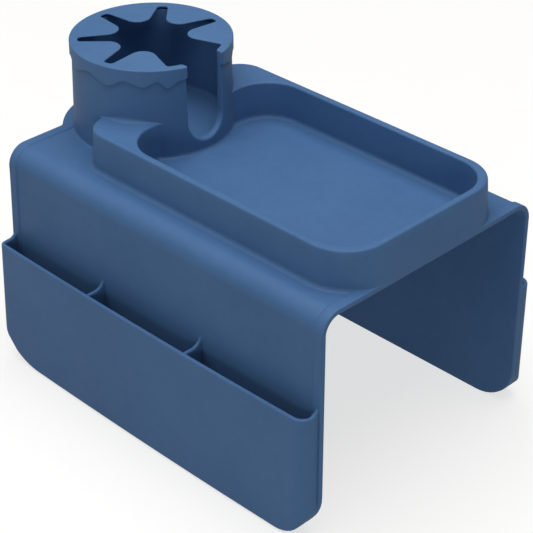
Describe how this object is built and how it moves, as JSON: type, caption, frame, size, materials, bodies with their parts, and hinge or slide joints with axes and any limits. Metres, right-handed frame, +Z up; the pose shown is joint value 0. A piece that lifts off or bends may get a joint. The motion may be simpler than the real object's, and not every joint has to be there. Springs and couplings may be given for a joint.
{
  "type": "sofa arm tray",
  "caption": "Silicone saddle for a sofa arm with side pockets, a walled tray and a slotted cup well with a petal grip cap.",
  "frame": {"origin": "on the floor plane under the middle of the overall box, with the flaps' lower edges at z = 0", "axes": "+X along the sofa arm from the cup well towards the open tray end, +Y across the arm, +Z up"},
  "size_m": [0.3324, 0.2368, 0.2396],
  "materials": {
    "body_silicone": "matte moulded silicone",
    "cap_silicone": "matte moulded silicone"
  },
  "bodies": {
    "saddle": {"saddle_deck": "body_silicone", "tray_wall": "body_silicone", "cup_well": "body_silicone"},
    "near_side": {"near_flap": "body_silicone", "near_pocket": "body_silicone", "near_divider_rear": "body_silicone", "near_divider_front": "body_silicone"},
    "far_side": {"far_flap": "body_silicone", "far_pocket": "body_silicone", "far_divider_rear": "body_silicone", "far_divider_front": "body_silicone"},
    "cap": {"grip_cap": "cap_silicone"},
    "petal_1": {"grip_petal_1": "cap_silicone"},
    "petal_2": {"grip_petal_2": "cap_silicone"},
    "petal_3": {"grip_petal_3": "cap_silicone"},
    "petal_4": {"grip_petal_4": "cap_silicone"},
    "petal_5": {"grip_petal_5": "cap_silicone"},
    "petal_6": {"grip_petal_6": "cap_silicone"}
  },
  "joints": [
    {"name": "near_flap_bend", "type": "hinge", "parent": "saddle", "child": "near_side", "pos_m": [0, -0.09791, 0.16781], "axis": [-1, 0, 0], "range_deg": [-10, 90], "stiffness_Nm_per_rad": 3},
    {"name": "far_flap_bend", "type": "hinge", "parent": "saddle", "child": "far_side", "pos_m": [0, 0.09791, 0.16781], "axis": [1, 0, 0], "range_deg": [-10, 90], "stiffness_Nm_per_rad": 3},
    {"name": "cap_lift", "type": "slide", "parent": "saddle", "child": "cap", "axis": [0, 0, 1], "range_m": [0, 0.04]},
    {"name": "petal_1_bend", "type": "hinge", "parent": "cap", "child": "petal_1", "pos_m": [-0.07053, 0.0362, 0.2366], "axis": [0.7818, -0.6235, 0], "range_deg": [-20, 70], "stiffness_Nm_per_rad": 0.03},
    {"name": "petal_2_bend", "type": "hinge", "parent": "cap", "child": "petal_2", "pos_m": [-0.1097, 0.04514, 0.2366], "axis": [0.9749, 0.2225, 0], "range_deg": [-20, 70], "stiffness_Nm_per_rad": 0.03},
    {"name": "petal_3_bend", "type": "hinge", "parent": "cap", "child": "petal_3", "pos_m": [-0.14111, 0.02009, 0.2366], "axis": [0.4339, 0.901, 0], "range_deg": [-20, 70], "stiffness_Nm_per_rad": 0.03},
    {"name": "petal_4_bend", "type": "hinge", "parent": "cap", "child": "petal_4", "pos_m": [-0.14111, -0.02009, 0.2366], "axis": [-0.4339, 0.901, 0], "range_deg": [-20, 70], "stiffness_Nm_per_rad": 0.03},
    {"name": "petal_5_bend", "type": "hinge", "parent": "cap", "child": "petal_5", "pos_m": [-0.1097, -0.04514, 0.2366], "axis": [-0.9749, 0.2225, 0], "range_deg": [-20, 70], "stiffness_Nm_per_rad": 0.03},
    {"name": "petal_6_bend", "type": "hinge", "parent": "cap", "child": "petal_6", "pos_m": [-0.07053, -0.0362, 0.2366], "axis": [-0.7818, -0.6235, 0], "range_deg": [-20, 70], "stiffness_Nm_per_rad": 0.03}
  ]
}
